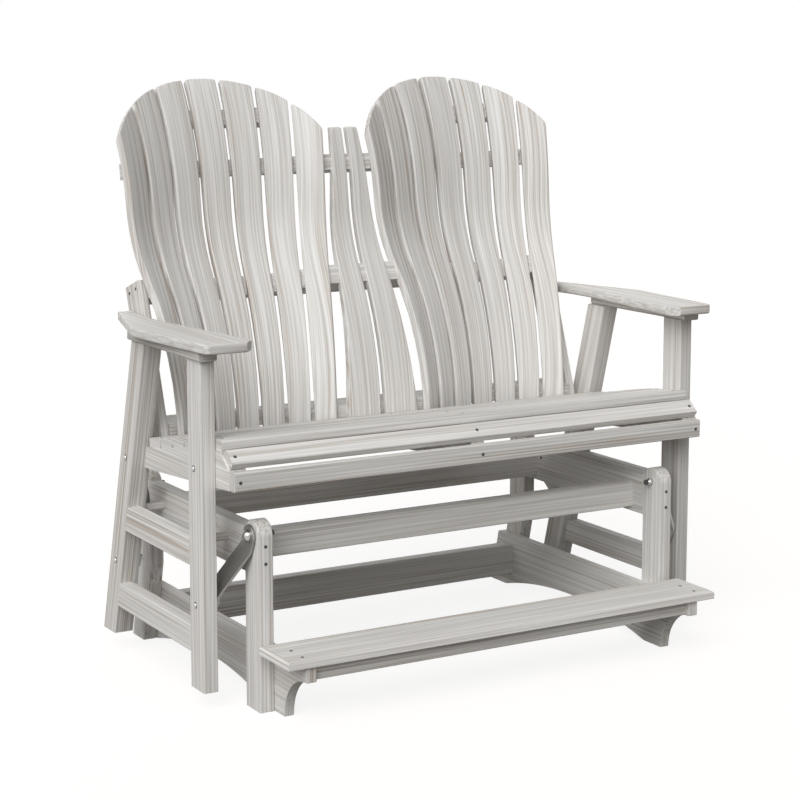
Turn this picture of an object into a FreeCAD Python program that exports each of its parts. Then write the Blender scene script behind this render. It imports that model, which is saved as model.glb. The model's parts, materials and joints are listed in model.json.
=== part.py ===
import math
import os

import FreeCAD
import Part

V = FreeCAD.Vector

# Porch glider for two with a footrest, in millimetres. While it is built, Y is measured
# back from the front edge of the feet and Z up from the floor, with X = 0 in the middle.
# export() moves the pieces by ORIGIN_BACK, to put the origin under the middle of the box.
ORIGIN_BACK = 329.2
OVERALL_HEIGHT = 1273.5

# Slack for picking edges by their extent
NIL = 0.01
SLACK = 1.0

# Lumber
FRAME_BOARD = 33.0
LEG_BOARD = 32.0
SLAT_BOARD = 19.0
EASED_EDGE = 2.5

# Base: posts, rails and cross bars
POST_INNER_X = 488.5
POST_OUTER_X = POST_INNER_X + FRAME_BOARD
POST_WIDTH = 65.0
POST_HEIGHT = 398.5
FRONT_POST_Y = 42.0
REAR_POST_Y = 596.0
REAR_POST_BEND_Z = 188.0
REAR_POST_SPLAY = 47.0
BASE_RAIL_Z = (284.0, 379.0)
FRONT_BAR_Y = 145.0
REAR_BAR_Y = 537.0
CROSS_BAR_Z = (295.0, 354.0)
LOWER_BAR_Y = 608.0
LOWER_BAR_Z = (32.0, 108.5)

# Base: runners and footrest
RUNNER_BOARD = 23.0
RUNNER_INNER_X = POST_INNER_X - RUNNER_BOARD
RUNNER_TOP = 130.0
NOSE_RADIUS = 97.0
NOSE_FLAT = 3.0
ARCH_Y = (64.0, 640.0)
ARCH_RISE = 38.0
FOOTREST_HALF_LENGTH = 531.0
FOOTREST_Y = (-106.0, 26.0)
FOOTREST_BOARD = 18.0
FOOTREST_NOSE = 5.0
FOOT_APRON_Y = -86.0
FOOT_APRON_BOARD = 22.0
FOOT_APRON_Z = 97.0

# Guide pegs on the outer faces of the base rails
PEG_RADIUS = 9.0
PEG_END_X = 568.0
PEG_CHAMFER = 1.5
PEG_PLACES = ((190.0, 341.0), (520.0, 340.0))

# Glide linkage: four joggled steel bars, leaning towards each other downwards
UPPER_PIVOT_Z = 366.0
LOWER_PIVOT_Z = 218.0
PIVOT_MIDDLE_Y = 352.0
UPPER_PIVOT_REACH = 276.0
LOWER_PIVOT_REACH = 212.5
LINK_WIDTH = 46.0
LINK_THICKNESS = 5.0
LINK_STRAIGHT = 30.0
BOLT_RADIUS = 5.0
HOLE_RADIUS = 5.3
PIN_SIDES = 10
SIDE_CLEARANCE = 0.3
WASHER_RADIUS = 13.0
WASHER_THICKNESS = 2.0
LOOSE_EYE_RADIUS = 11.2
HEAD_RADIUS = 10.0
HEAD_CROWN_RADIUS = 6.0
HEAD_HEIGHT = 5.0
NUT_RADIUS = 9.5
NUT_CROWN_RADIUS = 5.0
NUT_HEIGHT = 13.0

# Seat sides
LEG_INNER_X = 586.0
LEG_OUTER_X = LEG_INNER_X + LEG_BOARD
REAR_LEG_BOARD = 44.0
REAR_LEG_INNER_X = LEG_OUTER_X - REAR_LEG_BOARD
LEG_WIDTH = 66.0
LEG_TOP = 727.0
FRONT_LEG_Y = 102.0
FRONT_LEG_FOOT_Z = 40.0
REAR_LEG_TOP_Y = 386.0
REAR_LEG_FOOT = (578.0, 47.0)
UPPER_STRETCHER_Z = (295.0, 351.5)
LOWER_STRETCHER_Z = (113.0, 170.0)
FRONT_RAIL_BOLT = (140.0, 502.0)
REAR_RAIL_BOLT = (497.0, 462.0)

# Arms
CLEAT_Y = (90.0, 455.0)
CLEAT_OUTER_X = LEG_OUTER_X + 8.0
ARM_Z = (746.5, 766.5)
ARM_FRONT_Y = 45.0
ARM_FRONT_X = (541.0, 621.0)
ARM_INNER_CURVE = ((518.0, 72.0), (533.0, 215.0), (549.0, 327.0), (559.0, 425.0), (555.0, 535.0))
ARM_BACK_Y = 612.0
ARM_BACK_X = (554.0, 582.0)
ARM_WIDEST = (658.0, 353.0)
ARM_OUTER_FRONT = (631.0, 56.0)

# Seat
SEAT_HALF_LENGTH = 585.0
RAIL_INNER_X = 548.0
CENTRE_RAIL_HALF = 16.5
SEAT_SLATS = 6
SEAT_SLAT_GAP = 5.0
SEAT_SLAT_THICKNESS = 21.0
SEAT_CONTOUR = ((73.0, 547.0), (150.0, 540.0), (244.0, 526.5), (348.0, 505.0), (441.5, 490.0))
FRONT_SLAT_HALF_LENGTH = 582.0
WATERFALL_TOP = (62.5, 551.5)
WATERFALL_FOOT = (31.5, 526.5)
WATERFALL_BOARD = 19.0
SEAT_APRON_Y = (21.0, 41.0)
SEAT_APRON_Z = (470.0, 509.5)
RAIL_BACK_Y = 552.0
RAIL_BACK_BOTTOM = 435.0
RAIL_BACK_TOP = 484.0
CENTRE_RAIL_BACK_TOP = 490.0

# Back uprights
UPRIGHT_BOARD = 20.0
UPRIGHT_FOOT = (440.0, 446.0)
UPRIGHT_LEAN = 0.348
UPRIGHT_WIDTH = 77.0
UPRIGHT_TOP_Z = 838.0

# Back slats: two dished fans side by side and a pair of slats between them. The bends give
# the height and the backward lean in degrees at the ends of each arc of the slats' S-curve,
# and each arc is made of BEND_SPANS straight spans. A fan's half width and dish change evenly
# between the two heights of FAN_Z. The slats face the fan's middle, so their bends also carry
# them sideways, by FAN_TURN at the fan's edge.
FAN_CENTRE_X = 312.5
BACK_FOOT_Y = 506.5
BACK_BENDS = ((502.0, 3.1), (839.0, 30.2), (1000.0, 5.7), (1292.0, 32.3))
BEND_SPANS = 6
FAN_Z = (577.0, 1155.0)
FAN_HALF_WIDTH = (194.5, 254.0)
FAN_DISH = (64.0, 71.5)
FAN_TURN = 0.44
SLAT_EDGES = (-1.0, -0.738, -0.455, -0.154, 0.154, 0.455, 0.738, 1.0)
BACK_SLAT_GAP = 7.5
FAN_ARCH_RADIUS = 278.0
FAN_ARCH_LEAN = 30.0
CENTRE_SLAT_TOP = 1160.0
CENTRE_SLAT_INNER_X = 6.5
CENTRE_SLAT_OUTER_X = (93.0, 35.0)
CENTRE_SLAT_SET_FORWARD = 63.0

# Braces behind the back: height at the slats' back, lean in degrees, half length, and the
# depth of the board behind its deepest scallop. The middle one is two boards thick.
BRACE_BOARD = 36.0
UPPER_BRACE_Z = 1070.5
UPPER_BRACE_LEAN = 8.0
UPPER_BRACE_HALF_LENGTH = 525.0
MIDDLE_BRACE_Z = 805.5
MIDDLE_BRACE_BOARD = 21.5
LOWER_BRACE_Z = 515.0
TOP_BRACE_Z = 1183.0
TOP_BRACE_HALF_LENGTH = 150.0
BRACE_SPINE = 35.0
TOP_BRACE_SPINE = 24.0
BRACE_SCALLOP_PROUD = 3.0


def polygon_face(points):
    return Part.Face(Part.makePolygon(list(points) + [points[0]]))


def side_board(outline, x0, x1):
    """Board whose outline is given as (y, z) points, between two X planes."""
    face = polygon_face([V(x0, y, z) for y, z in outline])
    return face.extrude(V(x1 - x0, 0, 0))


def side_solid(edges, x0, x1):
    """Board whose outline is a closed chain of edges in the plane X = x0."""
    return Part.Face(Part.Wire(edges)).extrude(V(x1 - x0, 0, 0))


def long_board(half_length, y0, y1, z0, z1):
    return Part.makeBox(2 * half_length, y1 - y0, z1 - z0, V(-half_length, y0, z0))


def ease_along_x(board):
    """Ease the four long edges of a board that runs from side to side."""
    along = [e for e in board.Edges if e.BoundBox.YLength + e.BoundBox.ZLength < NIL]
    return board.makeChamfer(EASED_EDGE, along)


def ease_faces(board, shortest):
    """Ease the edges of a side board's two faces, apart from the short ends."""
    rim = [e for e in board.Edges if e.BoundBox.XLength < NIL and e.Length > shortest]
    return board.makeChamfer(EASED_EDGE, rim)


def mirrored(shape):
    return shape.mirror(V(0, 0, 0), V(1, 0, 0))


def ring(y, z, x, radius):
    """Regular polygon that stands for a small circle about an axis along X."""
    turn = 2 * math.pi / PIN_SIDES
    angles = [i * turn for i in range(PIN_SIDES + 1)]
    return Part.makePolygon([V(x, y + radius * math.cos(a), z + radius * math.sin(a)) for a in angles])


def rod(y, z, x0, x1, radius):
    return Part.Face(ring(y, z, x0, radius)).extrude(V(x1 - x0, 0, 0))


def bore(y, z, x0, x1, radius=HOLE_RADIUS):
    return rod(y, z, x0, x1, radius)


def crown(y, z, x0, x1, radius0, radius1):
    """Tapered end of a pin, bolt head or nut."""
    return Part.makeLoft([ring(y, z, x0, radius0), ring(y, z, x1, radius1)], True, True)


def upper_pivots():
    return [(PIVOT_MIDDLE_Y + side * UPPER_PIVOT_REACH, UPPER_PIVOT_Z) for side in (-1, 1)]


def lower_pivots():
    return [(PIVOT_MIDDLE_Y + side * LOWER_PIVOT_REACH, LOWER_PIVOT_Z) for side in (-1, 1)]


def line(x, start, end):
    return Part.LineSegment(V(x, *start), V(x, *end)).toShape()


def arc(x, start, middle, end):
    return Part.Arc(V(x, *start), V(x, *middle), V(x, *end)).toShape()


# Base

def front_post():
    x = POST_INNER_X
    y0 = FRONT_POST_Y
    y1 = y0 + POST_WIDTH
    shoulder = POST_HEIGHT - POST_WIDTH / 2
    edges = [
        line(x, (y0, 0), (y0, shoulder)),
        arc(x, (y0, shoulder), ((y0 + y1) / 2, POST_HEIGHT), (y1, shoulder)),
        line(x, (y1, shoulder), (y1, 0)),
        line(x, (y1, 0), (y0, 0)),
    ]
    post = ease_faces(side_solid(edges, x, POST_OUTER_X), POST_WIDTH + SLACK)
    return post.cut(bore(*upper_pivots()[0], x, POST_OUTER_X))


def rear_post():
    x = POST_INNER_X
    y0 = REAR_POST_Y
    y1 = y0 + POST_WIDTH
    shoulder = POST_HEIGHT - POST_WIDTH / 2
    bend = REAR_POST_BEND_Z
    edges = [
        line(x, (y0 + REAR_POST_SPLAY, 0), (y0, bend)),
        line(x, (y0, bend), (y0, shoulder)),
        arc(x, (y0, shoulder), ((y0 + y1) / 2, POST_HEIGHT), (y1, shoulder)),
        line(x, (y1, shoulder), (y1, bend)),
        line(x, (y1, bend), (y1 + REAR_POST_SPLAY, 0)),
        line(x, (y1 + REAR_POST_SPLAY, 0), (y0 + REAR_POST_SPLAY, 0)),
    ]
    post = ease_faces(side_solid(edges, x, POST_OUTER_X), POST_WIDTH + SLACK)
    return post.cut(bore(*upper_pivots()[1], x, POST_OUTER_X))


def base_rail():
    y0 = FRONT_POST_Y + POST_WIDTH
    board = Part.makeBox(
        FRAME_BOARD, REAR_POST_Y - y0, BASE_RAIL_Z[1] - BASE_RAIL_Z[0], V(POST_INNER_X, y0, BASE_RAIL_Z[0])
    )
    along = [e for e in board.Edges if e.BoundBox.YLength > POST_WIDTH]
    return board.makeChamfer(EASED_EDGE, along)


def cross_bar(front_y):
    return ease_along_x(long_board(POST_INNER_X, front_y, front_y + FRAME_BOARD, *CROSS_BAR_Z))


def lower_rear_bar():
    y0 = LOWER_BAR_Y
    return ease_along_x(long_board(RUNNER_INNER_X, y0, y0 + FRAME_BOARD, *LOWER_BAR_Z))


def runner():
    """Side sill: scrolled nose under the footrest, shallow arch between two feet, splayed heel."""
    x = RUNNER_INNER_X
    nose_y = -NOSE_RADIUS - NOSE_FLAT
    diagonal = NOSE_RADIUS * math.sqrt(0.5)
    arch_middle = sum(ARCH_Y) / 2
    heel_bottom = REAR_POST_Y + POST_WIDTH + REAR_POST_SPLAY
    heel_top = heel_bottom - REAR_POST_SPLAY * RUNNER_TOP / REAR_POST_BEND_Z
    edges = [
        line(x, (nose_y, RUNNER_TOP), (nose_y, NOSE_RADIUS)),
        line(x, (nose_y, NOSE_RADIUS), (-NOSE_RADIUS, NOSE_RADIUS)),
        arc(x, (-NOSE_RADIUS, NOSE_RADIUS), (diagonal - NOSE_RADIUS, diagonal), (0, 0)),
        line(x, (0, 0), (ARCH_Y[0], 0)),
        arc(x, (ARCH_Y[0], 0), (arch_middle, ARCH_RISE), (ARCH_Y[1], 0)),
        line(x, (ARCH_Y[1], 0), (heel_bottom, 0)),
        line(x, (heel_bottom, 0), (heel_top, RUNNER_TOP)),
        line(x, (heel_top, RUNNER_TOP), (nose_y, RUNNER_TOP)),
    ]
    return side_solid(edges, x, POST_INNER_X)


def footrest_board():
    y0, y1 = FOOTREST_Y
    top = RUNNER_TOP + FOOTREST_BOARD
    board = long_board(FOOTREST_HALF_LENGTH, y0, y1, RUNNER_TOP, top)
    rim = [e for e in board.Edges if e.BoundBox.ZMin > top - NIL]
    return board.makeChamfer(FOOTREST_NOSE, rim)


def footrest_apron():
    y0 = FOOT_APRON_Y
    return ease_along_x(long_board(RUNNER_INNER_X, y0, y0 + FOOT_APRON_BOARD, FOOT_APRON_Z, RUNNER_TOP))


def guide_pegs():
    pegs = []
    for y, z in PEG_PLACES:
        shoulder = PEG_END_X - PEG_CHAMFER
        body = rod(y, z, POST_OUTER_X, shoulder, PEG_RADIUS)
        end = crown(y, z, shoulder, PEG_END_X, PEG_RADIUS, PEG_RADIUS - PEG_CHAMFER)
        peg = body.fuse(end).removeSplitter()
        pegs += [peg, mirrored(peg)]
    return Part.makeCompound(pegs)


# Linkage

def link_faces_x(leg_x):
    """Inner face of the link at its upper eye, beside the post, and at its lower eye, beside the leg."""
    upper = POST_OUTER_X + WASHER_THICKNESS + SIDE_CLEARANCE
    lower = leg_x - WASHER_THICKNESS - SIDE_CLEARANCE - LINK_THICKNESS
    return upper, lower


def link(upper, lower, lower_hole, leg_x):
    """Flat bar with round ends, set over sideways between its two eyes."""
    x0, x1 = link_faces_x(leg_x)
    along = V(0, lower[0] - upper[0], lower[1] - upper[1])
    length = along.Length
    along.normalize()
    across = V(1, 0, 0).cross(along)
    half = LINK_WIDTH / 2
    pivot = V(0, *upper)

    def place(s, w, x):
        return pivot + along * s + across * w + V(x, 0, 0)

    s0 = LINK_STRAIGHT
    s1 = length - LINK_STRAIGHT
    t = LINK_THICKNESS
    shift = t * math.tan(math.atan2(x1 - x0, s1 - s0) / 2)
    side = [
        (-half, x0), (s0, x0), (s1, x1), (length + half, x1),
        (length + half, x1 + t), (s1 - shift, x1 + t), (s0 - shift, x0 + t), (-half, x0 + t),
    ]
    strip = polygon_face([place(s, -half, x) for s, x in side]).extrude(across * LINK_WIDTH)
    rim = [
        Part.LineSegment(place(0, -half, x0), place(length, -half, x0)).toShape(),
        Part.Arc(place(length, -half, x0), place(length + half, 0, x0), place(length, half, x0)).toShape(),
        Part.LineSegment(place(length, half, x0), place(0, half, x0)).toShape(),
        Part.Arc(place(0, half, x0), place(-half, 0, x0), place(0, -half, x0)).toShape(),
    ]
    plate = Part.Face(Part.Wire(rim)).extrude(V(x1 + t - x0, 0, 0))
    bar = strip.common(plate)
    bar = bar.cut(bore(*upper, x0, x0 + t))
    return bar.cut(bore(*lower, x1, x1 + t, lower_hole)).removeSplitter()


def bolt(y, z, x0, x1):
    """Round-headed bolt, its head outside at x1 and a cap nut on the inner side at x0."""
    shank = rod(y, z, x0, x1, BOLT_RADIUS)
    head = crown(y, z, x1, x1 + HEAD_HEIGHT, HEAD_RADIUS, HEAD_CROWN_RADIUS)
    nut = crown(y, z, x0, x0 - NUT_HEIGHT, NUT_RADIUS, NUT_CROWN_RADIUS)
    return shank.fuse([head, nut]).removeSplitter()


def washer(y, z, x):
    disc = rod(y, z, x, x + WASHER_THICKNESS, WASHER_RADIUS)
    return disc.cut(bore(y, z, x, x + WASHER_THICKNESS))


def upper_pivot_bolts():
    solids = []
    head_x = link_faces_x(LEG_INNER_X)[0] + LINK_THICKNESS + SIDE_CLEARANCE
    for y, z in upper_pivots():
        for solid in (bolt(y, z, POST_INNER_X, head_x), washer(y, z, POST_OUTER_X)):
            solids += [solid, mirrored(solid)]
    return Part.makeCompound(solids)


def leg_bolts():
    solids = []
    for (y, z), leg_x in zip(lower_pivots(), (LEG_INNER_X, REAR_LEG_INNER_X)):
        nut_x = link_faces_x(leg_x)[1] - SIDE_CLEARANCE
        for solid in (bolt(y, z, nut_x, LEG_OUTER_X), washer(y, z, leg_x - WASHER_THICKNESS)):
            solids += [solid, mirrored(solid)]
    for place, inner_x in ((FRONT_RAIL_BOLT, RAIL_INNER_X), (REAR_RAIL_BOLT, RAIL_INNER_X - UPRIGHT_BOARD)):
        solid = bolt(*place, inner_x, LEG_OUTER_X)
        solids += [solid, mirrored(solid)]
    return Part.makeCompound(solids)


# Seat sides

def front_leg():
    y0 = FRONT_LEG_Y
    y1 = y0 + LEG_WIDTH
    outline = [(y0, FRONT_LEG_FOOT_Z), (y1, FRONT_LEG_FOOT_Z), (y1, LEG_TOP), (y0, LEG_TOP)]
    leg = ease_faces(side_board(outline, LEG_INNER_X, LEG_OUTER_X), LEG_WIDTH + SLACK)
    leg = leg.cut(bore(*lower_pivots()[0], LEG_INNER_X, LEG_OUTER_X))
    return leg.cut(bore(*FRONT_RAIL_BOLT, LEG_INNER_X, LEG_OUTER_X))


def rear_leg_front_y(z):
    foot_y, foot_z = REAR_LEG_FOOT
    return foot_y + (REAR_LEG_TOP_Y - foot_y) * (z - foot_z) / (LEG_TOP - foot_z)


def rear_leg():
    """Sloping leg, thicker than the front one and notched on the inside over the seat rail."""
    foot_y, foot_z = REAR_LEG_FOOT
    outline = [
        (foot_y, foot_z), (foot_y + LEG_WIDTH, foot_z),
        (REAR_LEG_TOP_Y + LEG_WIDTH, LEG_TOP), (REAR_LEG_TOP_Y, LEG_TOP),
    ]
    leg = ease_faces(side_board(outline, REAR_LEG_INNER_X, LEG_OUTER_X), LEG_WIDTH + SLACK)
    leg = leg.cut(bore(*lower_pivots()[1], REAR_LEG_INNER_X, LEG_OUTER_X))
    leg = leg.cut(seat_rail(RAIL_INNER_X, LEG_INNER_X, RAIL_BACK_TOP))
    return leg.cut(bore(*REAR_RAIL_BOLT, LEG_INNER_X, LEG_OUTER_X))


def stretcher(z0, z1):
    """Rail between the legs of one side, its back end cut to the rear leg's slope."""
    y0 = FRONT_LEG_Y + LEG_WIDTH
    outline = [(y0, z0), (rear_leg_front_y(z0), z0), (rear_leg_front_y(z1), z1), (y0, z1)]
    return ease_faces(side_board(outline, LEG_INNER_X, LEG_OUTER_X), LEG_WIDTH + 2 * SLACK)


# Seat

def seat_chords():
    """Underside of each seat slat as a chord of the seat's contour, front to back."""
    curve = Part.BSplineCurve()
    curve.interpolate([V(0, y, z) for y, z in SEAT_CONTOUR])
    knots = curve.discretize(Number=SEAT_SLATS + 1)
    return list(zip(knots[:-1], knots[1:]))


def seat_slats():
    slats = []
    for start, end in seat_chords():
        along = (end - start).normalize()
        up = V(1, 0, 0).cross(along) * SEAT_SLAT_THICKNESS
        first = start + along * (SEAT_SLAT_GAP / 2) - V(SEAT_HALF_LENGTH, 0, 0)
        last = end - along * (SEAT_SLAT_GAP / 2) - V(SEAT_HALF_LENGTH, 0, 0)
        board = polygon_face([first, last, last + up, first + up]).extrude(V(2 * SEAT_HALF_LENGTH, 0, 0))
        long_edges = [e for e in board.Edges if e.BoundBox.XLength > SEAT_HALF_LENGTH]
        slats.append(board.makeChamfer(EASED_EDGE, long_edges))
    return Part.makeCompound(slats)


def waterfall_back():
    """The two inner corners of the sloping front slat, as (y, z)."""
    top = V(0, *WATERFALL_TOP)
    foot = V(0, *WATERFALL_FOOT)
    inwards = V(1, 0, 0).cross(top - foot).normalize() * -WATERFALL_BOARD
    return [(p.y, p.z) for p in (top + inwards, foot + inwards)]


def waterfall_slat():
    inner_top, inner_foot = waterfall_back()
    outline = [WATERFALL_FOOT, WATERFALL_TOP, inner_top, inner_foot]
    return ease_along_x(side_board(outline, -FRONT_SLAT_HALF_LENGTH, FRONT_SLAT_HALF_LENGTH))


def seat_apron():
    return ease_along_x(long_board(FRONT_SLAT_HALF_LENGTH, *SEAT_APRON_Y, *SEAT_APRON_Z))


def seat_rail(x0, x1, back_top):
    """Edge-on rail, its top cut to carry the seat slats and its nose to carry the front ones."""
    front_y = SEAT_APRON_Y[1]
    inner_top, inner_foot = waterfall_back()
    chords = seat_chords()
    outline = [(front_y, SEAT_APRON_Z[0]), (front_y, inner_foot[1]), inner_foot, inner_top]
    outline += [(start.y, start.z) for start, end in chords]
    outline += [(chords[-1][1].y, chords[-1][1].z), (RAIL_BACK_Y, back_top), (RAIL_BACK_Y, RAIL_BACK_BOTTOM)]
    return side_board(outline, x0, x1)


def side_rail():
    rail = seat_rail(RAIL_INNER_X, LEG_INNER_X, RAIL_BACK_TOP)
    rail = rail.cut(bore(*FRONT_RAIL_BOLT, RAIL_INNER_X, LEG_INNER_X))
    return rail.cut(bore(*REAR_RAIL_BOLT, RAIL_INNER_X, LEG_INNER_X))


# Arms

def arm_cleat():
    y0, y1 = CLEAT_Y
    width = CLEAT_OUTER_X - LEG_INNER_X
    board = Part.makeBox(width, y1 - y0, ARM_Z[0] - LEG_TOP, V(LEG_INNER_X, y0, LEG_TOP))
    along = [e for e in board.Edges if e.BoundBox.YLength > LEG_WIDTH]
    return board.makeChamfer(EASED_EDGE, along)


def armrest():
    z0, z1 = ARM_Z
    front = [V(x, ARM_FRONT_Y, z0) for x in ARM_FRONT_X]
    inner = [V(x, y, z0) for x, y in ARM_INNER_CURVE]
    curve = Part.BSplineCurve()
    curve.interpolate(inner)
    corners = [
        inner[-1], V(ARM_BACK_X[0], ARM_BACK_Y, z0), V(ARM_BACK_X[1], ARM_BACK_Y, z0),
        V(*ARM_WIDEST, z0), V(*ARM_OUTER_FRONT, z0), front[1], front[0], inner[0],
    ]
    edges = [curve.toShape()]
    edges += [Part.LineSegment(a, b).toShape() for a, b in zip(corners[:-1], corners[1:])]
    board = Part.Face(Part.Wire(edges)).extrude(V(0, 0, z1 - z0))
    rim = [e for e in board.Edges if e.BoundBox.ZLength < NIL and e.BoundBox.XMax > ARM_BACK_X[0] + SLACK]
    return board.makeChamfer(EASED_EDGE, rim)


# Back

def bend_stations():
    """Points along the front of the S-curve from the foot up, as (y, z, lean in radians)."""
    stations = []
    y = BACK_FOOT_Y
    for (z0, lean0), (z1, lean1) in zip(BACK_BENDS[:-1], BACK_BENDS[1:]):
        start, end = math.radians(lean0), math.radians(lean1)
        radius = (z1 - z0) / (math.sin(end) - math.sin(start))
        for span in range(BEND_SPANS + 1):
            lean = start + (end - start) * span / BEND_SPANS
            rise = radius * (math.sin(lean) - math.sin(start))
            stations.append((y + radius * (math.cos(start) - math.cos(lean)), z0 + rise, lean))
        y = stations.pop()[0]
    return stations + [(y, BACK_BENDS[-1][0], end)]


def front_y(z):
    """Front of a fan's middle slat at a height."""
    front = Part.makePolygon([V(0, y, height) for y, height, lean in bend_stations()])
    level = line(0, (0, z), (OVERALL_HEIGHT, z))
    return front.distToShape(level)[1][0][0].y


def at_height(values, z):
    """Value at a height of a measure that changes evenly between the heights of FAN_Z."""
    share = (z - FAN_Z[0]) / (FAN_Z[1] - FAN_Z[0])
    return values[0] + (values[1] - values[0]) * share


def slat_section(left, right, lean):
    """Board section behind the front corners left and right, square to the slat."""
    across = (right - left).normalize()
    depth = across.cross(V(0, math.sin(lean), math.cos(lean))).normalize() * -SLAT_BOARD
    return Part.makePolygon([left, right, right + depth, left + depth, left])


def bent_slat(corners_at):
    """Slat along the back's S-curve; corners_at gives its two front corners beside a point of it."""
    sections = [slat_section(*corners_at(y, z), lean) for y, z, lean in bend_stations()]
    return Part.makeLoft(sections, True, True)


def fan_slat(inner, outer):
    """Tapered slat between two shares of the right-hand fan's half width."""
    inset = BACK_SLAT_GAP / 2
    turn = FAN_TURN * (inner + outer) / 2
    chord = [front_y(z) for z in FAN_Z]

    def corners_at(y, z):
        middle = FAN_CENTRE_X + turn * (y - at_height(chord, z))
        half, dish = at_height(FAN_HALF_WIDTH, z), at_height(FAN_DISH, z)
        left = V(middle + inner * half + inset, y - dish * inner ** 2, z)
        return left, V(middle + outer * half - inset, y - dish * outer ** 2, z)

    return bent_slat(corners_at)


def fan_arch():
    """Everything below the right-hand fan's arched top, whose edge is cut square to the slats."""
    r = FAN_ARCH_RADIUS
    reach = OVERALL_HEIGHT
    rim = [
        Part.Arc(V(-r, 0, -r), V(0, 0, 0), V(r, 0, -r)).toShape(),
        Part.LineSegment(V(r, 0, -r), V(r, 0, -reach)).toShape(),
        Part.LineSegment(V(r, 0, -reach), V(-r, 0, -reach)).toShape(),
        Part.LineSegment(V(-r, 0, -reach), V(-r, 0, -r)).toShape(),
    ]
    arch = Part.Face(Part.Wire(rim)).extrude(V(0, 2 * reach, 0))
    arch.translate(V(0, -reach, 0))
    arch.rotate(V(0, 0, 0), V(1, 0, 0), -FAN_ARCH_LEAN)
    arch.translate(V(FAN_CENTRE_X, front_y(OVERALL_HEIGHT), OVERALL_HEIGHT))
    return arch


def fan_slats():
    """The slats of the right-hand fan, from the middle of the bench outwards."""
    arch = fan_arch()
    return [fan_slat(*edges).common(arch) for edges in zip(SLAT_EDGES[:-1], SLAT_EDGES[1:])]


def centre_slat():
    """Slat between the fans: upright on its inner edge, tapering to the top on its outer one."""
    bottom = BACK_BENDS[0][0]
    wide, narrow = CENTRE_SLAT_OUTER_X

    def corners_at(y, z):
        front = y - CENTRE_SLAT_SET_FORWARD
        share = (z - bottom) / (CENTRE_SLAT_TOP - bottom)
        return V(CENTRE_SLAT_INNER_X, front, z), V(wide + (narrow - wide) * share, front, z)

    slat = bent_slat(corners_at)
    return slat.common(Part.makeBox(OVERALL_HEIGHT, OVERALL_HEIGHT, CENTRE_SLAT_TOP))


def upright():
    """Leaning side board of the back, its top cut square, bolted to the seat rail's inner face."""
    foot_y, foot_z = UPRIGHT_FOOT
    lean = math.hypot(1, UPRIGHT_LEAN)
    depth = UPRIGHT_WIDTH * lean
    top_y = foot_y + UPRIGHT_LEAN * (UPRIGHT_TOP_Z - foot_z)
    back_top = (top_y + UPRIGHT_WIDTH / lean, UPRIGHT_TOP_Z - UPRIGHT_WIDTH * UPRIGHT_LEAN / lean)
    outline = [(foot_y, foot_z), (foot_y + depth, foot_z), back_top, (top_y, UPRIGHT_TOP_Z)]
    board = side_board(outline, RAIL_INNER_X - UPRIGHT_BOARD, RAIL_INNER_X)
    board = ease_faces(board, depth + SLACK)
    return board.cut(bore(*REAR_RAIL_BOLT, RAIL_INNER_X - UPRIGHT_BOARD, RAIL_INNER_X))


def back_lean():
    return math.degrees(math.atan(UPRIGHT_LEAN))


def scallop(x, half_width, front_y, mid_y):
    """Shallow arc scooped out of a brace's front about one fan's middle, in plan."""
    start, stop = V(x - half_width, front_y, 0), V(x + half_width, front_y, 0)
    return Part.Arc(start, V(x, mid_y, 0), stop).toShape()


def brace_plan(z, half_length):
    """Plan of a brace behind the slats at a height: straight back, one scallop for each fan."""
    middle = front_y(z) + SLAT_BOARD
    half_width = at_height(FAN_HALF_WIDTH, z)
    front = middle - at_height(FAN_DISH, z) - BRACE_SCALLOP_PROUD
    back = middle + BRACE_SPINE
    end = max(half_length, FAN_CENTRE_X + half_width) + SLACK
    deepest = middle - BRACE_SCALLOP_PROUD
    inner, outer = FAN_CENTRE_X - half_width, FAN_CENTRE_X + half_width
    rim = [V(outer, front, 0), V(end, front, 0), V(end, back, 0)]
    rim += [V(-p.x, p.y, 0) for p in reversed(rim)]
    edges = [
        scallop(-FAN_CENTRE_X, half_width, front, deepest),
        Part.LineSegment(V(-inner, front, 0), V(inner, front, 0)).toShape(),
        scallop(FAN_CENTRE_X, half_width, front, deepest),
    ]
    edges += [Part.LineSegment(a, b).toShape() for a, b in zip(rim[:-1], rim[1:])]
    return Part.Face(Part.Wire(edges))


def brace(z, half_length, lean, below, above):
    """Brace across the whole back, from below to above its height, before the slats are let in."""
    board = brace_plan(z, half_length).extrude(V(0, 0, above - below))
    board = board.common(Part.makeBox(2 * half_length, OVERALL_HEIGHT, above - below, V(-half_length, 0, 0)))
    board.translate(V(0, 0, z + below))
    board.rotate(V(0, front_y(z) + SLAT_BOARD, z), V(1, 0, 0), -lean)
    return board


def top_brace(lean):
    """Short brace across the middle slats of the right-hand fan, scooped at the front like the others."""
    z = TOP_BRACE_Z
    x = FAN_CENTRE_X
    w = TOP_BRACE_HALF_LENGTH
    middle = front_y(z) + SLAT_BOARD
    drop = at_height(FAN_DISH, z) * (w / at_height(FAN_HALF_WIDTH, z)) ** 2
    front, back = middle - drop - BRACE_SCALLOP_PROUD, middle + TOP_BRACE_SPINE
    corners = [V(x + w, front, 0), V(x + w, back, 0), V(x - w, back, 0), V(x - w, front, 0)]
    edges = [scallop(x, w, front, middle - BRACE_SCALLOP_PROUD)]
    edges += [Part.LineSegment(a, b).toShape() for a, b in zip(corners[:-1], corners[1:])]
    board = Part.Face(Part.Wire(edges)).extrude(V(0, 0, BRACE_BOARD))
    board.translate(V(0, 0, z - BRACE_BOARD / 2))
    board.rotate(V(x, middle, z), V(1, 0, 0), -lean)
    return board


def let_in(board, slats):
    """Board with the slats let into it, without the slivers left between them."""
    return max(board.cut(slats).Solids, key=lambda solid: solid.Volume)


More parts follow.
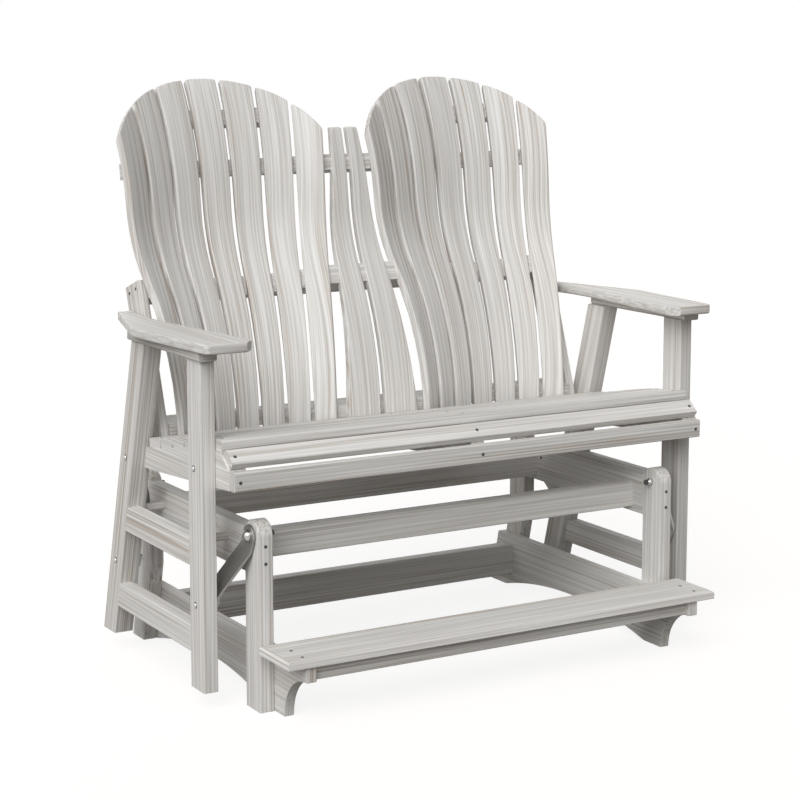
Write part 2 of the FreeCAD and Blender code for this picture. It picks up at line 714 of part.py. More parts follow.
def export(name, shape):
    placed = shape.copy()
    placed.translate(V(0, -ORIGIN_BACK, 0))
    placed.exportStep("parts/" + name + ".step")


def export_pair(name, right):
    export("right_" + name, right)
    export("left_" + name, mirrored(right))


def main():
    os.makedirs("parts", exist_ok=True)

    export_pair("runner", runner())
    export_pair("front_post", front_post())
    export_pair("rear_post", rear_post())
    export_pair("base_rail", base_rail())
    export("front_cross_bar", cross_bar(FRONT_BAR_Y))
    export("rear_cross_bar", cross_bar(REAR_BAR_Y))
    export("lower_rear_bar", lower_rear_bar())
    export("footrest_board", footrest_board())
    export("footrest_apron", footrest_apron())
    export("guide_pegs", guide_pegs())
    export("upper_pivot_bolts", upper_pivot_bolts())

    (front_upper, rear_upper), (front_lower, rear_lower) = upper_pivots(), lower_pivots()
    export_pair("front_link", link(front_upper, front_lower, HOLE_RADIUS, LEG_INNER_X))
    export_pair("rear_link", link(rear_upper, rear_lower, LOOSE_EYE_RADIUS, REAR_LEG_INNER_X))

    export_pair("front_leg", front_leg())
    export_pair("rear_leg", rear_leg())
    export_pair("upper_stretcher", stretcher(*UPPER_STRETCHER_Z))
    export_pair("lower_stretcher", stretcher(*LOWER_STRETCHER_Z))
    export_pair("seat_rail", side_rail())
    export("centre_seat_rail", seat_rail(-CENTRE_RAIL_HALF, CENTRE_RAIL_HALF, CENTRE_RAIL_BACK_TOP))
    export("seat_slats", seat_slats())
    export("waterfall_slat", waterfall_slat())
    export("seat_apron", seat_apron())
    export("leg_bolts", leg_bolts())
    export_pair("arm_cleat", arm_cleat())
    export_pair("armrest", armrest())

    right_fan = fan_slats()
    left_fan = [mirrored(slat) for slat in right_fan]
    centre = centre_slat()
    centre_pair = [centre, mirrored(centre)]
    for number, slat in enumerate(right_fan, 1):
        export_pair("fan_slat_%d" % number, slat)
    export("centre_slats", Part.makeCompound(centre_pair))

    back = right_fan + left_fan + centre_pair
    inside = RAIL_INNER_X - UPRIGHT_BOARD
    lean = back_lean()
    half = BRACE_BOARD / 2
    export_pair("upright", let_in(upright(), right_fan))
    upper = brace(UPPER_BRACE_Z, UPPER_BRACE_HALF_LENGTH, UPPER_BRACE_LEAN, -half, half)
    export("upper_brace", let_in(upper, back))
    layers = ((-MIDDLE_BRACE_BOARD, 0), (0, MIDDLE_BRACE_BOARD))
    middle = [let_in(brace(MIDDLE_BRACE_Z, inside, lean, *layer), back) for layer in layers]
    export("middle_brace", Part.makeCompound(middle))
    export("lower_brace", let_in(brace(LOWER_BRACE_Z, inside, 0, -half, half), back))
    top = let_in(top_brace(lean), right_fan)
    export("top_braces", Part.makeCompound([top, mirrored(top)]))


main()
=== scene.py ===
import bpy
import bmesh
import json
import math
from mathutils import Matrix, Vector
from mathutils.bvhtree import BVHTree

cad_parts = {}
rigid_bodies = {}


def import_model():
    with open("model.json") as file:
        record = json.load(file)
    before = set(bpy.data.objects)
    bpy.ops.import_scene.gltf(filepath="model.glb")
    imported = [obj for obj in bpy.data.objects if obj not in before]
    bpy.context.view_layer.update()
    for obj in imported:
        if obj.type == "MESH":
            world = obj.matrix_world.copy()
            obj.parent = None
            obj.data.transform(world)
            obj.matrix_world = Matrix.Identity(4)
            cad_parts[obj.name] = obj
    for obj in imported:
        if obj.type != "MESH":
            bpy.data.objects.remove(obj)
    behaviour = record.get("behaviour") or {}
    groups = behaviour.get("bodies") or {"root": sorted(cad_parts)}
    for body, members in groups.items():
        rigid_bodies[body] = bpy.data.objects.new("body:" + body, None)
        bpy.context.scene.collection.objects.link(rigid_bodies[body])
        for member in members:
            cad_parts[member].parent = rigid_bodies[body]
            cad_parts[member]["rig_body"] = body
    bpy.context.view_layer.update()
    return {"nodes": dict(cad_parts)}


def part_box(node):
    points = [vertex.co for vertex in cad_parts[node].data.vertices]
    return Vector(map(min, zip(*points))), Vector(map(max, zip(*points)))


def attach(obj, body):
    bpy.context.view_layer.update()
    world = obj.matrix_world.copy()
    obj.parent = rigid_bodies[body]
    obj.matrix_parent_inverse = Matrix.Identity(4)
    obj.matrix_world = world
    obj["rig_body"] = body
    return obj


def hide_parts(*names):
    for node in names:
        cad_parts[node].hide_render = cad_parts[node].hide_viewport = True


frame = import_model()
scene = bpy.context.scene
scene.view_settings.view_transform = "Standard"
print("frame loaded:", len(frame["nodes"]), "nodes")


# camera at the height of a standing viewer, left of the bench and in front of it
cameraSettings = {
    "place": (-2.2856, -3.8822, 1.3523),
    "turn": 30.214,  # degrees to the right of straight ahead
    "tilt": 8.179,  # degrees downwards
    "lens": 91.5,
    "sensor": 36.0,
    "shift": -0.08,
}


def addCamera():
    s = cameraSettings
    data = bpy.data.cameras.new("camera")
    data.sensor_width = s["sensor"]
    data.lens = s["lens"]
    data.shift_y = s["shift"]
    camera = bpy.data.objects.new("camera", data)
    camera.location = s["place"]
    camera.rotation_euler = (math.radians(90 - s["tilt"]), 0, -math.radians(s["turn"]))
    scene.collection.objects.link(camera)
    scene.camera = camera


# small helpers for node materials
def newMaterial(name):
    material = bpy.data.materials.new(name)
    material.use_nodes = True
    tree = material.node_tree
    return material, tree, tree.nodes["Principled BSDF"]


def addNode(tree, kind, inputs=None, **options):
    node = tree.nodes.new(kind)
    for key, value in options.items():
        setattr(node, key, value)
    for key, value in (inputs or {}).items():
        if isinstance(value, bpy.types.NodeSocket):
            tree.links.new(value, node.inputs[key])
        else:
            node.inputs[key].default_value = value
    return node


def mathNode(tree, operation, first, second):
    return addNode(tree, "ShaderNodeMath", {0: first, 1: second}, operation=operation).outputs[0]


def seenDirectly(tree):
    # 1 for what the camera, a reflection or a refraction looks at, 0 for the light on the bench
    path = addNode(tree, "ShaderNodeLightPath")
    seen = mathNode(tree, "MAXIMUM", path.outputs["Is Camera Ray"], path.outputs["Is Glossy Ray"])
    return mathNode(tree, "MAXIMUM", seen, path.outputs["Is Transmission Ray"])


# white floor that keeps a faint shadow
floorSettings = {"size": 60.0, "color": (0.18, 0.170, 0.158, 1), "lift": 0.86}


def addFloor():
    s = floorSettings
    bm = bmesh.new()
    bmesh.ops.create_grid(bm, x_segments=1, y_segments=1, size=s["size"] / 2)
    mesh = bpy.data.meshes.new("floor")
    bm.to_mesh(mesh)
    bm.free()
    floor = bpy.data.objects.new("floor", mesh)
    scene.collection.objects.link(floor)
    material, tree, shader = newMaterial("floorPaint")
    shader.inputs["Base Color"].default_value = s["color"]
    shader.inputs["Roughness"].default_value = 1.0
    shader.inputs["Specular IOR Level"].default_value = 0.0
    shader.inputs["Emission Color"].default_value = (1, 1, 1, 1)
    lift = mathNode(tree, "MULTIPLY", seenDirectly(tree), s["lift"])
    tree.links.new(lift, shader.inputs["Emission Strength"])
    mesh.materials.append(material)


# soft light: a pale sky, a broad lamp from the front left, a weak one from the left and one from behind
lightSettings = {
    "sky": (1.0, 0.982, 0.958, 1),
    "skyStrength": 0.28,
    "lamps": {
        "key": {"strength": 2.5, "spread": 50.0, "from": (-0.56, -0.54, 0.63)},
        "side": {"strength": 0.6, "spread": 60.0, "from": (-0.94, 0.10, 0.26)},
        "fill": {"strength": 1.1, "spread": 70.0, "from": (0.40, 0.91, 0.12)},
    },
}


def addLamp(name, strength, spread, direction):
    lamp = bpy.data.lights.new(name, "SUN")
    lamp.energy = strength
    lamp.angle = math.radians(spread)
    holder = bpy.data.objects.new(name, lamp)
    holder.rotation_euler = Vector(direction).to_track_quat("Z", "Y").to_euler()
    scene.collection.objects.link(holder)


def addLight():
    s = lightSettings
    world = bpy.data.worlds.new("studio")
    world.use_nodes = True
    scene.world = world
    tree = world.node_tree
    sky = tree.nodes["Background"]
    sky.inputs["Color"].default_value = s["sky"]
    sky.inputs["Strength"].default_value = s["skyStrength"]
    white = addNode(tree, "ShaderNodeBackground", {"Color": (1, 1, 1, 1), "Strength": 1.0})
    seen = seenDirectly(tree)
    mix = addNode(tree, "ShaderNodeMixShader", {0: seen, 1: sky.outputs[0], 2: white.outputs[0]})
    tree.links.new(mix.outputs[0], tree.nodes["World Output"].inputs["Surface"])
    for name, lamp in s["lamps"].items():
        addLamp(name, lamp["strength"], lamp["spread"], lamp["from"])


addCamera()
addFloor()
addLight()
print("camera, floor and light ready")


# streaked grey lumber; grainPlace holds metres along, across and into each board
lumberSettings = {
    "pale": (0.792, 0.785, 0.769, 1),
    "grey": (0.480, 0.462, 0.438, 1),
    "tan": (0.400, 0.335, 0.275, 1),
    "band": {"scale": (0.9, 24.0, 24.0), "detail": 2.0, "ramp": (0.40, 0.68)},
    "streak": {"scale": (1.7, 190.0, 190.0), "detail": 2.0, "ramp": (0.36, 0.70)},
    "fibre": {"scale": (3.2, 480.0, 480.0), "detail": 1.0, "ramp": (0.42, 0.74)},
    "line": {"scale": (1.3, 260.0, 260.0), "detail": 2.0, "ramp": (0.48, 0.70), "shift": (5.3, 1.7, 2.9)},
    "streakShare": 0.62,
    "fibreShare": 0.40,
    "lineLeast": 0.22,  # how much of the tan lines shows outside the broad bands
    "tanShare": 0.95,
    "specular": 0.22,
    "roughness": (0.58, 0.78),
    "bump": 0.00022,
    "bumpStrength": 0.6,
    "bumpFibre": 0.6,
}


def grainNoise(tree, place, s):
    shift = s.get("shift", (0, 0, 0))
    stretched = addNode(tree, "ShaderNodeMapping", {"Vector": place, "Scale": s["scale"], "Location": shift})
    inputs = {"Vector": stretched.outputs[0], "Scale": 1.0, "Detail": s["detail"]}
    return addNode(tree, "ShaderNodeTexNoise", inputs).outputs["Fac"]


def rampFrom(tree, value, limits):
    inputs = {"Value": value, "From Min": limits[0], "From Max": limits[1]}
    return addNode(tree, "ShaderNodeMapRange", inputs).outputs[0]


def rampTo(tree, value, limits):
    inputs = {"Value": value, "To Min": limits[0], "To Max": limits[1]}
    return addNode(tree, "ShaderNodeMapRange", inputs).outputs[0]


def mixColor(tree, share, first, second):
    # the Mix node's sockets for colours are inputs 6 and 7 and output 2
    mix = addNode(tree, "ShaderNodeMix", {0: share, 6: first, 7: second}, data_type="RGBA")
    return mix.outputs[2]


def makeLumber():
    s = lumberSettings
    material, tree, shader = newMaterial("greyLumber")
    place = addNode(tree, "ShaderNodeAttribute", attribute_name="grainPlace").outputs["Vector"]
    tone = addNode(tree, "ShaderNodeAttribute", attribute_name="boardTone").outputs["Fac"]
    noise = {name: grainNoise(tree, place, s[name]) for name in ("band", "streak", "fibre", "line")}
    share = {name: rampFrom(tree, value, s[name]["ramp"]) for name, value in noise.items()}
    streaks = mathNode(tree, "MULTIPLY", share["streak"], s["streakShare"])
    fibres = mathNode(tree, "MULTIPLY", share["fibre"], s["fibreShare"])
    grey = mathNode(tree, "ADD", streaks, fibres)
    warm = mathNode(tree, "ADD", share["band"], s["lineLeast"])
    warm = mathNode(tree, "MULTIPLY", warm, share["line"])
    warm = mathNode(tree, "MULTIPLY", warm, s["tanShare"])
    color = mixColor(tree, grey, s["pale"], s["grey"])
    color = mixColor(tree, warm, color, s["tan"])
    shade = addNode(tree, "ShaderNodeHueSaturation", {"Color": color, "Value": tone})
    tree.links.new(shade.outputs[0], shader.inputs["Base Color"])
    tree.links.new(rampTo(tree, noise["streak"], s["roughness"]), shader.inputs["Roughness"])
    shader.inputs["Specular IOR Level"].default_value = s["specular"]
    height = mathNode(tree, "MULTIPLY", noise["fibre"], s["bumpFibre"])
    height = mathNode(tree, "ADD", noise["streak"], height)
    inputs = {"Height": height, "Strength": s["bumpStrength"], "Distance": s["bump"]}
    bump = addNode(tree, "ShaderNodeBump", inputs)
    tree.links.new(bump.outputs[0], shader.inputs["Normal"])
    return material


# brushed steel of the links, brighter bolts, and black for the screws and for the rings of painted shade
# round the bolt heads
steelSettings = {
    "link": {"color": (0.40, 0.394, 0.380, 1), "roughness": (0.36, 0.52), "metallic": 1.0,
             "scale": (900.0, 900.0, 60.0), "detail": 3.0},
    "bolt": {"color": (0.52, 0.514, 0.502, 1), "roughness": (0.16, 0.28), "metallic": 1.0,
             "scale": (700.0, 700.0, 700.0), "detail": 3.0},
    "blackAndShade": {"color": (0.055, 0.054, 0.053, 1), "roughness": (0.30, 0.45), "metallic": 0.0,
              "scale": (500.0, 500.0, 500.0), "detail": 3.0},
}
brushSettings = {"ramp": (0.35, 0.7), "dark": 0.8}  # the dark streaks keep this share of the colour


def makeSteel(name):
    s = steelSettings[name]
    material, tree, shader = newMaterial(name + "Steel")
    coords = addNode(tree, "ShaderNodeTexCoord").outputs["Object"]
    brushed = grainNoise(tree, coords, s)
    dark = tuple(brushSettings["dark"] * c for c in s["color"][:3]) + (1,)
    color = mixColor(tree, rampFrom(tree, brushed, brushSettings["ramp"]), s["color"], dark)
    tree.links.new(color, shader.inputs["Base Color"])
    shader.inputs["Metallic"].default_value = s["metallic"]
    tree.links.new(rampTo(tree, brushed, s["roughness"]), shader.inputs["Roughness"])
    return material


lumber = makeLumber()
linkSteel = makeSteel("link")
boltSteel = makeSteel("bolt")
blackSteelAndShade = makeSteel("blackAndShade")
print("materials ready")


# what all the pieces share: merging, rounding and shading of edges, in metres and degrees
edgeSettings = {"gap": 0.00001, "flat": 0.5, "square": 40, "segments": 3, "sharp": 50}
sides = ("left", "right")
alongX, alongY, alongZ = Vector((1, 0, 0)), Vector((0, 1, 0)), Vector((0, 0, 1))


def pair(name):
    return [side + "_" + name for side in sides]


def bodyOf(node):
    return frame["nodes"][node]["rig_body"]


def mergedCopy(node, joinFlats=True):
    s = edgeSettings
    bm = bmesh.new()
    bm.from_mesh(frame["nodes"][node].data)
    bmesh.ops.remove_doubles(bm, verts=bm.verts, dist=s["gap"])
    if joinFlats:
        bmesh.ops.dissolve_limit(bm, angle_limit=math.radians(s["flat"]), verts=bm.verts, edges=bm.edges)
    return bm


def roundEdges(bm, width, least=edgeSettings["square"]):
    square = [e for e in bm.edges if e.calc_face_angle(0) > math.radians(least)]
    bmesh.ops.bevel(
        bm, geom=square, offset=width, affect="EDGES", segments=edgeSettings["segments"], profile=0.5,
        material=-1, clamp_overlap=True
    )


def finishMesh(name, bm, material, body, sharpAngle=edgeSettings["sharp"]):
    # smooth faces, hard edges past an angle and where boards meet, flat normals on the broad faces
    bmesh.ops.recalc_face_normals(bm, faces=bm.faces)
    for face in bm.faces:
        face.smooth = True
    for edge in bm.edges:
        edge.smooth = edge.calc_face_angle(math.pi) < math.radians(sharpAngle)
    mesh = bpy.data.meshes.new(name)
    bm.to_mesh(mesh)
    bm.free()
    mesh.materials.append(material)
    piece = bpy.data.objects.new(name, mesh)
    scene.collection.objects.link(piece)
    weighted = piece.modifiers.new("broadFaces", "WEIGHTED_NORMAL")
    weighted.keep_sharp = True
    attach(piece, body)
    return piece


# boards: a copy of each node with its grain, edges rounded where the solid has them square
boardSettings = [
    {"nodes": ["front_cross_bar", "rear_cross_bar", "lower_rear_bar", "footrest_board", "footrest_apron"],
     "grain": alongX, "round": 0},
    {"nodes": ["seat_slats", "waterfall_slat", "seat_apron"], "grain": alongX, "round": 0},
    {"nodes": ["upper_brace", "middle_brace", "lower_brace", "top_braces"], "grain": alongX, "round": 0},
    {"nodes": pair("runner") + pair("seat_rail") + ["centre_seat_rail"], "grain": alongY, "round": 0.0018},
    {"nodes": pair("base_rail") + pair("upper_stretcher") + pair("lower_stretcher") + pair("arm_cleat")
     + pair("armrest"), "grain": alongY, "round": 0},
    {"nodes": pair("front_leg") + pair("front_post") + pair("rear_post"), "grain": alongZ, "round": 0},
    {"nodes": pair("rear_leg"), "grain": Vector((0, -192, 680)), "round": 0},  # as the legs slope
    {"nodes": pair("upright"), "grain": Vector((0, 0.348, 1)), "round": 0},  # as the back leans
]
grainSettings = {
    "shiftAlong": 3.17,
    "shiftAcross": 0.731,
    "toneSpread": 0.03,
    "toneStep": 2.4,
    "endShare": 0.5,  # a face that looks this much along the board counts as its end
}


def markGrain(piece, places, index):
    # each board is cut from its own stretch of the grain and has its own tone
    s = grainSettings
    mesh = piece.data
    shift = Vector((index * s["shiftAlong"], index * s["shiftAcross"], 0))
    place = mesh.attributes.new("grainPlace", "FLOAT_VECTOR", "CORNER")
    place.data.foreach_set("vector", [c for p in places for c in p + shift])
    tone = 1 + s["toneSpread"] * math.sin(index * s["toneStep"])
    tones = [tone] * len(mesh.vertices)
    mesh.attributes.new("boardTone", "FLOAT", "POINT").data.foreach_set("value", tones)


def boardPlaces(mesh, along):
    # streaks follow the board, and on its ends they follow the longer side of the end
    across = along.cross(alongZ if along == alongX else alongX).normalized()
    deep = along.cross(across)

    def reach(axis):
        values = [v.co.dot(axis) for v in mesh.vertices]
        return max(values) - min(values)

    wide, thin = sorted((across, deep), key=reach, reverse=True)
    places = []
    for face in mesh.polygons:
        isEnd = abs(face.normal.dot(along)) > grainSettings["endShare"]
        axes = (wide, along, thin) if isEnd else (along, wide, thin)
        for corner in face.vertices:
            co = mesh.vertices[corner].co
            places.append(Vector([co.dot(axis) for axis in axes]))
    return places


def dressBoard(node, grain, width, index):
    bm = mergedCopy(node, width > 0)
    if width:
        roundEdges(bm, width)
    piece = finishMesh(node + "_board", bm, lumber, bodyOf(node))
    markGrain(piece, boardPlaces(piece.data, grain.normalized()), index)
    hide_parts(node)
    return piece


boards = {}
for group in boardSettings:
    for node in group["nodes"]:
        boards[node] = dressBoard(node, group["grain"], group["round"], len(boards))
print("boards dressed:", len(boards))


# back slats: the grain follows each slat's own middle line
slatSettings = {
    "nodes": [name for i in range(1, 8) for name in pair("fan_slat_%d" % i)] + ["centre_slats"],
    "round": 0.004,
    "thickness": 0.019,
    "endReach": 0.12,  # how far from its ends the slat's middle line is taken
    "footHeight": 0.003,
    "footDrop": Vector((0, -0.0008, -0.014)),  # carries the fan's feet down behind the seat
}


def slatPlaces(mesh, low, high):
    # height along the slat, distance from its middle line, and depth by the way the surface looks
    reach = slatSettings["endReach"]
    foot = [v.co.x for v in mesh.vertices if v.co.z < low.z + reach]
    head = [v.co.x for v in mesh.vertices if v.co.z > high.z - reach]
    footX, headX = (min(foot) + max(foot)) / 2, (min(head) + max(head)) / 2
    places = []
    for face in mesh.polygons:
        for corner in face.vertices:
            v = mesh.vertices[corner]
            share = (v.co.z - low.z) / (high.z - low.z)
            middle = footX + (headX - footX) * share
            depth = slatSettings["thickness"] * (1 + v.normal.y) / 2
            places.append(Vector((v.co.z, v.co.x - middle, depth)))
    return places


def dropFeet(bm):
    lowest = min(v.co.z for v in bm.verts)
    feet = [v for v in bm.verts if v.co.z < lowest + slatSettings["footHeight"]]
    bmesh.ops.translate(bm, vec=slatSettings["footDrop"], verts=feet)


def dressSlat(node, index):
    bm = mergedCopy(node)
    if "fan" in node:
        dropFeet(bm)
    roundEdges(bm, slatSettings["round"])
    piece = finishMesh(node + "_board", bm, lumber, bodyOf(node))
    markGrain(piece, slatPlaces(piece.data, *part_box(node)), index)
    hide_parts(node)
    return piece


for node in slatSettings["nodes"]:
    boards[node] = dressSlat(node, len(boards))
print("back slats dressed:", len(slatSettings["nodes"]))


# links: flat steel bars with bright eased edges
linkSettings = {"nodes": pair("front_link") + pair("rear_link"), "round": 0.0007, "square": 60, "sharp": 30}


def dressLink(node):
    s = linkSettings
    bm = mergedCopy(node)
    roundEdges(bm, s["round"], s["square"])
    piece = finishMesh(node + "_bar", bm, linkSteel, bodyOf(node), s["sharp"])
    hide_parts(node)


for node in linkSettings["nodes"]:
    dressLink(node)
print("links dressed:", len(linkSettings["nodes"]))


# bolts, nuts, washers and pegs are spun about their own axes, where the solids have them
spinSettings = {"steps": 28, "hexSteps": 6, "screwSteps": 14, "domePoints": 6, "pole": 0.00002, "sharp": 40}


def islands(bm):
    left = set(bm.verts)
    groups = []
    while left:
        todo = [left.pop()]
        group = []
        while todo:
            v = todo.pop()
            group.append(v)
            for edge in v.link_edges:
                other = edge.other_vert(v)
                if other in left:
                    left.remove(other)
                    todo.append(other)
        groups.append(group)
    return groups


def roundPieces(node):
    # axis place, ends along X nearest the middle first, and radius of each solid in the node
    bm = mergedCopy(node)
    found = []
    for group in islands(bm):
        xs = sorted((v.co.x for v in group), key=abs)
        ys = [v.co.y for v in group]
        zs = [v.co.z for v in group]
        middle = Vector((0, (min(ys) + max(ys)) / 2, (min(zs) + max(zs)) / 2))
        radius = (max(ys) - min(ys)) / 2
        found.append({"middle": middle, "inner": xs[0], "outer": xs[-1], "radius": radius})
    bm.free()
    return sorted(found, key=lambda p: (p["outer"], p["middle"].y, p["middle"].z, p["radius"]))


def spinProfile(bm, profile, place, axis, steps, closed=False):
    # profile: metres along the axis and radius; a closed profile makes a ring
    turn = axis.to_track_quat("X", "Z").to_matrix().to_4x4()
    verts = [bm.verts.new((x, r, 0)) for x, r in profile]
    pairs = list(zip(verts, verts[1:] + verts[:1])) if closed else list(zip(verts, verts[1:]))
    edges = [bm.edges.new(p) for p in pairs]
    before = set(bm.verts) - set(verts)
    bmesh.ops.spin(
        bm, geom=verts + edges, cent=(0, 0, 0), axis=(1, 0, 0), angle=2 * math.pi, steps=steps,
        use_merge=True
    )
    made = [v for v in bm.verts if v not in before]
    bmesh.ops.transform(bm, matrix=Matrix.Translation(place) @ turn, verts=made)


def dome(radius, height, start):
    # points of a rounded cap that rises by height from start
    count = spinSettings["domePoints"]
    turns = [i / count * math.pi / 2 for i in range(count + 1)]
    return [(start + height * math.sin(t), radius * math.cos(t)) for t in turns]


def finishSpun(name, bm, material, body):
    bmesh.ops.remove_doubles(bm, verts=bm.verts, dist=spinSettings["pole"])
    return finishMesh(name, bm, material, body, spinSettings["sharp"])


def outward(part):
    return alongX * math.copysign(1, part["outer"])


# radii and heights of the bolts, and of the black rings of painted shade round their heads; a head's brim is
# straight, and a share of its dome's height
boltSettings = {
    "leg_bolts": {"head": 0.0054, "headHeight": 0.0036, "brim": 0.12, "shank": 0.004, "nut": 0.0085,
                  "rim": 0.0070},
    "upper_pivot_bolts": {"head": 0.0125, "headHeight": 0.0100, "brim": 0.12, "shank": 0.005, "nut": 0.0090,
                          "rim": 0.0112},
}


def addBolt(bm, part, s, faceX, nutX):
    # dome head on the outer face, and the shank from it to the nut
    side = outward(part)
    length = abs(faceX - nutX)
    head = [(0, s["shank"]), (0, s["head"])]
    head += dome(s["head"], s["headHeight"], s["headHeight"] * s["brim"])
    spinProfile(bm, head, part["middle"] + alongX * faceX, side, spinSettings["steps"])
    shank = [(0, 0), (0, s["shank"]), (length, s["shank"]), (length, 0)]
    spinProfile(bm, shank, part["middle"] + alongX * nutX, side, spinSettings["steps"])


# the cap's radius is a share of the nut's, and its dome a share of the cap's height
nutSettings = {"hexHeight": 0.0065, "bevel": 0.0006, "capRadius": 0.82, "capDome": 0.8}


def addNut(bm, part, s, nutX):
    # hexagon and round cap on the inner side
    n = nutSettings
    base = part["middle"] + alongX * nutX
    top, radius, bevel = n["hexHeight"], s["nut"], n["bevel"]
    hexagon = [(0, 0), (0, radius), (top - bevel, radius), (top, radius - bevel), (top, 0)]
    spinProfile(bm, hexagon, base, -outward(part), spinSettings["hexSteps"])
    capRadius = radius * n["capRadius"]
    capHeight = abs(nutX - part["inner"]) - top
    domeHeight = capHeight * n["capDome"]
    cap = [(top, capRadius)] + dome(capRadius, domeHeight, top + capHeight - domeHeight)
    spinProfile(bm, cap, base, -outward(part), spinSettings["steps"])


washerSettings = {"hole": 0.0054, "ease": 0.0003}


def addWasher(bm, part):
    hole, ease, radius = washerSettings["hole"], washerSettings["ease"], part["radius"]
    thick = abs(part["outer"] - part["inner"])
    base = part["middle"] + alongX * part["inner"]
    ring = [(0, hole), (0, radius - ease), (ease, radius)]
    ring += [(thick - ease, radius), (thick, radius - ease), (thick, hole)]
    spinProfile(bm, ring, base, outward(part), spinSettings["steps"], True)


# the black ring round a bolt head is painted shade: the dark edge that a shiny head shows where it meets the
# board
rimSettings = {"height": 0.0007, "ease": 0.0002}


def addShadeRing(bm, part, s, faceX):
    r = rimSettings
    ring = [(0, s["shank"]), (0, s["rim"]), (r["height"] - r["ease"], s["rim"])]
    ring += [(r["height"], s["rim"] - r["ease"]), (r["height"], s["shank"])]
    spinProfile(bm, ring, part["middle"] + alongX * faceX, outward(part), spinSettings["steps"], True)


tipSettings = {"nodes": ["upper_pivot_bolts"], "radius": 0.0060, "reach": 0.0190, "round": 0.0030}


def addTip(bm, part, nutX):
    # dark end of the bolt, past its nut
    t = tipSettings
    profile = [(0, 0), (0, t["radius"])] + dome(t["radius"], t["round"], t["reach"] - t["round"])
    spinProfile(bm, profile, part["middle"] + alongX * nutX, -outward(part), spinSettings["steps"])


# heights of the solids' heads and nuts, from the faces that they bear on
solidSettings = {"head": 0.005, "nut": 0.013}


def dressBolts(node):
    s = boltSettings[node]
    bolts, rims = bmesh.new(), bmesh.new()
    for part in roundPieces(node):
        sign = math.copysign(1, part["outer"])
        if abs(part["outer"] - part["inner"]) < 2 * solidSettings["head"]:
            addWasher(bolts, part)
            continue
        faceX = part["outer"] - sign * solidSettings["head"]
        nutX = part["inner"] + sign * solidSettings["nut"]
        addBolt(bolts, part, s, faceX, nutX)
        addNut(bolts, part, s, nutX)
        # a black ring of painted shade round the head
        addShadeRing(rims, part, s, faceX)
        if node in tipSettings["nodes"]:
            addTip(rims, part, nutX)
    piece = finishSpun(node + "_spun", bolts, boltSteel, bodyOf(node))
    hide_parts(node)
    # black pieces: the rings of painted shade round the heads, and the dark tips past the nuts
    finishSpun(node + "_rims", rims, blackSteelAndShade, bodyOf(node))


for node in boltSettings:
    dressBolts(node)
print("bolts spun:", len(boltSettings), "sets")


# guide pegs: turned from the lumber's own plastic, with a dark cap at the free end
pegSettings = {
    "ease": 0.0022,
    "easeTurn": 0.3,  # middle of the eased edge, as a share of the ease
    "capRadius": 0.0060,
    "capHeight": 0.0012,
    "capDome": 0.8,  # share of the cap's radius and of its height
}


def dressPegs():
    s = pegSettings
    pegs, caps = bmesh.new(), bmesh.new()
    for part in roundPieces("guide_pegs"):
        radius, ease = part["radius"], s["ease"]
        turn = ease * s["easeTurn"]
        length = abs(part["outer"] - part["inner"]) - s["capHeight"]
        base = part["middle"] + alongX * part["inner"]
        body = [(0, 0), (0, radius), (length - ease, radius), (length - turn, radius - turn)]
        body += [(length, radius - ease), (length, 0)]
        spinProfile(pegs, body, base, outward(part), spinSettings["steps"])
        capRadius, capHeight = s["capRadius"], s["capHeight"]
        cap = [(length - capHeight, 0), (length - capHeight, capRadius), (length, capRadius)]
        cap += dome(capRadius * s["capDome"], capHeight * s["capDome"], length)
        spinProfile(caps, cap, base, outward(part), spinSettings["steps"])
    piece = finishSpun("guide_pegs_turned", pegs, lumber, bodyOf("guide_pegs"))
    markGrain(piece, boardPlaces(piece.data, alongX), len(boards))
    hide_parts("guide_pegs")
    finishSpun("guide_peg_caps", caps, blackSteelAndShade, bodyOf("guide_pegs"))


dressPegs()
print("pegs turned")


# small dark screws, set where a line from outside meets the board
screwSettings = {
    "radius": 0.0037,
    "height": 0.0009,
    "flushHeight": 0.0003,  # on the seat slats, where people sit
    "sunk": 0.0025,
    "recess": 0.0019,
    "neck": 0.6,  # share of the radius, at the sunk end
    "shoulder": 0.6,  # share of the height
    "crown": 0.8,  # share of the radius
    "recessTaper": 0.7,  # share of the recess
    "recessFloor": 0.1,  # share of the height
    "postX": 0.506,
    "postHeights": (0.347, 0.311),
    "footrestX": 0.490,
    "footrestPlaces": (-0.365, -0.414),
    "seatX": (-0.570, 0.0, 0.570),
    "waterfallPlace": (-0.2842, 0.539),
    "waterfallWay": Vector((0, 0.63, -0.77)),
    "apronHeight": 0.489,
    "uprightPlaces": ((0.2948, 0.803), (0.2608, 0.817)),
    "pegPlaces": ((-0.1392, 0.341), (0.1908, 0.343)),
    "away": 1.5,
}


def slatMiddles():
    bm = mergedCopy("seat_slats")
    middles = []
    for group in islands(bm):
        ys = [v.co.y for v in group]
        middles.append((min(ys) + max(ys)) / 2)
    bm.free()
    return sorted(middles)


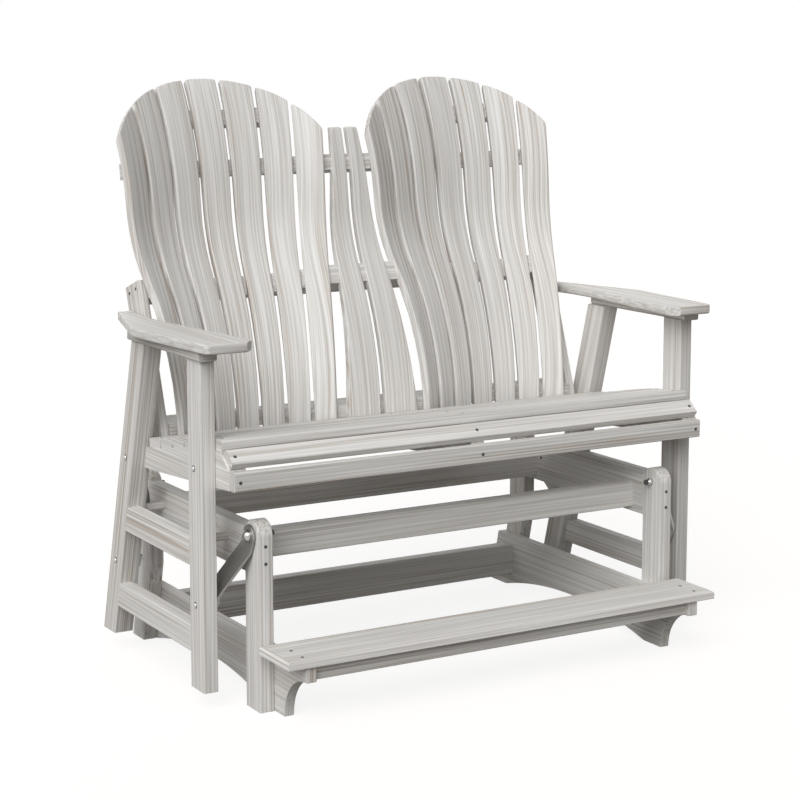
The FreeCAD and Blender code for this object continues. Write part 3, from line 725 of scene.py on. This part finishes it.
def screwSpots():
    # board, the start of a line, and the way in which the screw is driven along it
    s = screwSettings
    away = s["away"]
    spots = []
    for sign, side in zip((-1, 1), sides):
        for z in s["postHeights"]:
            spots.append((side + "_front_post", Vector((sign * s["postX"], -away, z)), alongY))
        for y in s["footrestPlaces"]:
            spots.append(("footrest_board", Vector((sign * s["footrestX"], y, away)), -alongZ))
        for y, z in s["uprightPlaces"]:
            spots.append((side + "_upright", Vector((sign * away, y, z)), -sign * alongX))
        for y, z in s["pegPlaces"]:  # from between the rails
            spots.append((side + "_base_rail", Vector((0, y, z)), sign * alongX))
    middles = slatMiddles()
    y, z = s["waterfallPlace"]
    way = s["waterfallWay"]
    for x in s["seatX"]:
        spots += [("seat_slats", Vector((x, middle, away)), -alongZ) for middle in middles]
        spots.append(("waterfall_slat", Vector((x, y, z)) - way * away, way))
        spots.append(("seat_apron", Vector((x, -away, s["apronHeight"])), alongY))
    return spots


def addScrew(bm, place, normal, height):
    s = screwSettings
    radius, recess = s["radius"], s["recess"]
    bottom = height * s["recessFloor"]
    profile = [(-s["sunk"], 0), (-s["sunk"], radius * s["neck"]), (0, radius)]
    profile += [(height * s["shoulder"], radius), (height, radius * s["crown"]), (height, recess)]
    profile += [(bottom, recess * s["recessTaper"]), (bottom, 0)]
    spinProfile(bm, profile, place, normal, spinSettings["screwSteps"])


def faceTree(mesh):
    return BVHTree.FromPolygons([v.co for v in mesh.vertices], [p.vertices for p in mesh.polygons])


def driveScrews():
    s = screwSettings
    screws = {"base": bmesh.new(), "seat": bmesh.new()}
    spots = screwSpots()
    trees = {node: faceTree(boards[node].data) for node in {spot[0] for spot in spots}}
    count = 0
    for node, start, way in spots:
        place, normal = trees[node].ray_cast(start, way)[:2]
        if place is None:
            print("no board under a screw:", node, tuple(start))
            continue
        height = s["flushHeight"] if node == "seat_slats" else s["height"]
        addScrew(screws[bodyOf(node)], place, normal, height)
        count += 1
    for body, bm in screws.items():
        finishSpun(body + "_screws", bm, blackSteelAndShade, body)
    print("screws driven:", count)


driveScrews()
